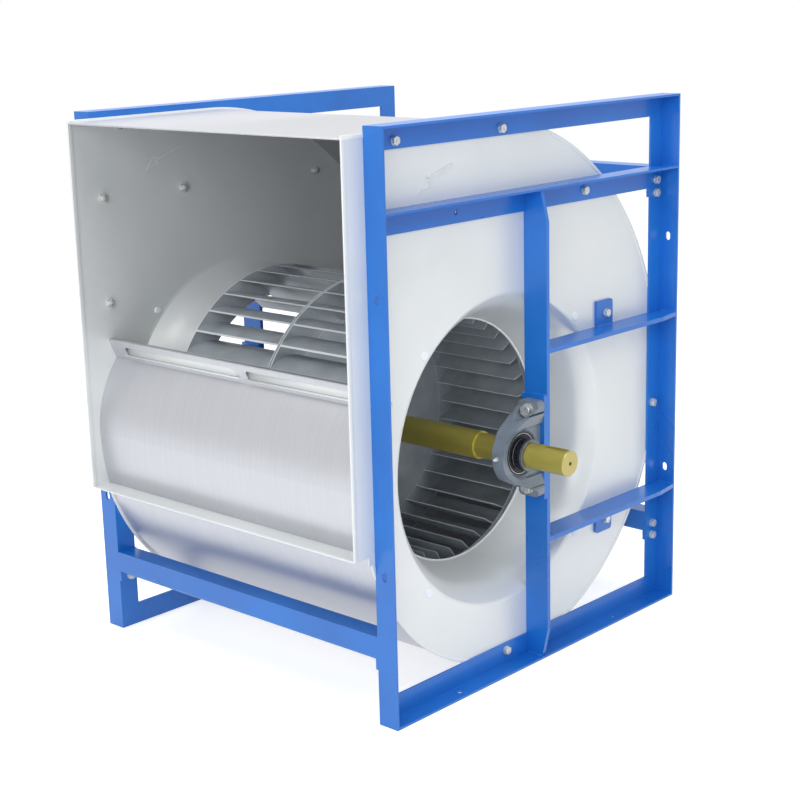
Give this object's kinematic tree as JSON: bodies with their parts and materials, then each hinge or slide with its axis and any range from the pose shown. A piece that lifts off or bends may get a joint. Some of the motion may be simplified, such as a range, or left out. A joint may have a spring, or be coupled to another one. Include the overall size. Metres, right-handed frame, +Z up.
{
  "type": "centrifugal blower",
  "caption": "Double-inlet centrifugal blower: forward-curved wheel in a sheet-steel scroll, carried by an angle-iron frame with pillow-block bearings and a keyed drive shaft.",
  "frame": {"origin": "centre of the four floor bolt holes, on the floor", "axes": "+X along the shaft towards the drive end, -Y out of the air outlet, +Z up"},
  "size_m": [1.098, 1.052, 1.208],
  "materials": {
    "frame_paint": "gloss powder coat, blue",
    "casing_sheet": "galvanised sheet, satin",
    "wheel_steel": "galvanised sheet, dull",
    "hub_iron": "machined casting",
    "shaft_steel": "turned, with a yellowish rust-proofing film",
    "bearing_iron": "painted casting, grey",
    "bright_steel": "ground",
    "zinc_steel": "zinc plated",
    "black_steel": "black oxide",
    "seal_rubber": "moulded",
    "cage_plastic": "moulded",
    "plug_plastic": "moulded, white"
  },
  "bodies": {
    "frame": {"front_cross_member": "frame_paint", "left_bearing_bolts": "zinc_steel", "left_bearing_housing": "bearing_iron", "left_bearing_outer_ring": "bright_steel", "left_bearing_pad": "frame_paint", "left_bearing_seals": "seal_rubber", "left_bearing_strut": "frame_paint", "left_bottom_rail": "frame_paint", "left_casing_bolts": "zinc_steel", "left_frame_bolts": "zinc_steel", "left_front_post": "frame_paint", "left_grease_nipple": "zinc_steel", "left_inlet_plugs": "plug_plastic", "left_lower_stay": "frame_paint", "left_rear_post": "frame_paint", "left_second_rail": "frame_paint", "left_side_plate": "casing_sheet", "left_top_rail": "frame_paint", "left_upper_stay": "frame_paint", "outlet_lip": "casing_sheet", "rear_lower_cross_member": "frame_paint", "rear_upper_cross_member": "frame_paint", "right_bearing_bolts": "zinc_steel", "right_bearing_housing": "bearing_iron", "right_bearing_outer_ring": "bright_steel", "right_bearing_pad": "frame_paint", "right_bearing_seals": "seal_rubber", "right_bearing_strut": "frame_paint", "right_bottom_rail": "frame_paint", "right_casing_bolts": "zinc_steel", "right_frame_bolts": "zinc_steel", "right_front_post": "frame_paint", "right_grease_nipple": "zinc_steel", "right_inlet_plugs": "plug_plastic", "right_lower_stay": "frame_paint", "right_rear_post": "frame_paint", "right_second_rail": "frame_paint", "right_side_plate": "casing_sheet", "right_top_rail": "frame_paint", "right_upper_stay": "frame_paint", "scroll_sheet": "casing_sheet", "tongue_nose": "casing_sheet"},
    "rotor": {"hub": "hub_iron", "hub_bolts": "zinc_steel", "hub_key": "bright_steel", "left_back_plate": "wheel_steel", "left_bearing_inner_ring": "black_steel", "left_blades": "wheel_steel", "left_end_ring": "wheel_steel", "left_set_screws": "black_steel", "right_back_plate": "wheel_steel", "right_bearing_inner_ring": "black_steel", "right_blades": "wheel_steel", "right_end_ring": "wheel_steel", "right_set_screws": "black_steel", "shaft": "shaft_steel"},
    "right_ball_set": {"right_bearing_balls": "bright_steel", "right_bearing_cage": "cage_plastic"},
    "left_ball_set": {"left_bearing_balls": "bright_steel", "left_bearing_cage": "cage_plastic"}
  },
  "joints": [
    {"name": "rotor_spin", "type": "hinge", "parent": "frame", "child": "rotor", "pos_m": [0, -0.087, 0.4895], "axis": [1, 0, 0], "continuous": true},
    {"name": "right_ball_set_spin", "type": "hinge", "parent": "frame", "child": "right_ball_set", "pos_m": [0.4505, -0.087, 0.4895], "axis": [1, 0, 0], "continuous": true},
    {"name": "left_ball_set_spin", "type": "hinge", "parent": "frame", "child": "left_ball_set", "pos_m": [-0.4505, -0.087, 0.4895], "axis": [1, 0, 0], "continuous": true}
  ],
  "couplings": [
    {"joint": "right_ball_set_spin", "follows": "rotor_spin", "ratio": 0.40782},
    {"joint": "left_ball_set_spin", "follows": "rotor_spin", "ratio": 0.40782}
  ]
}
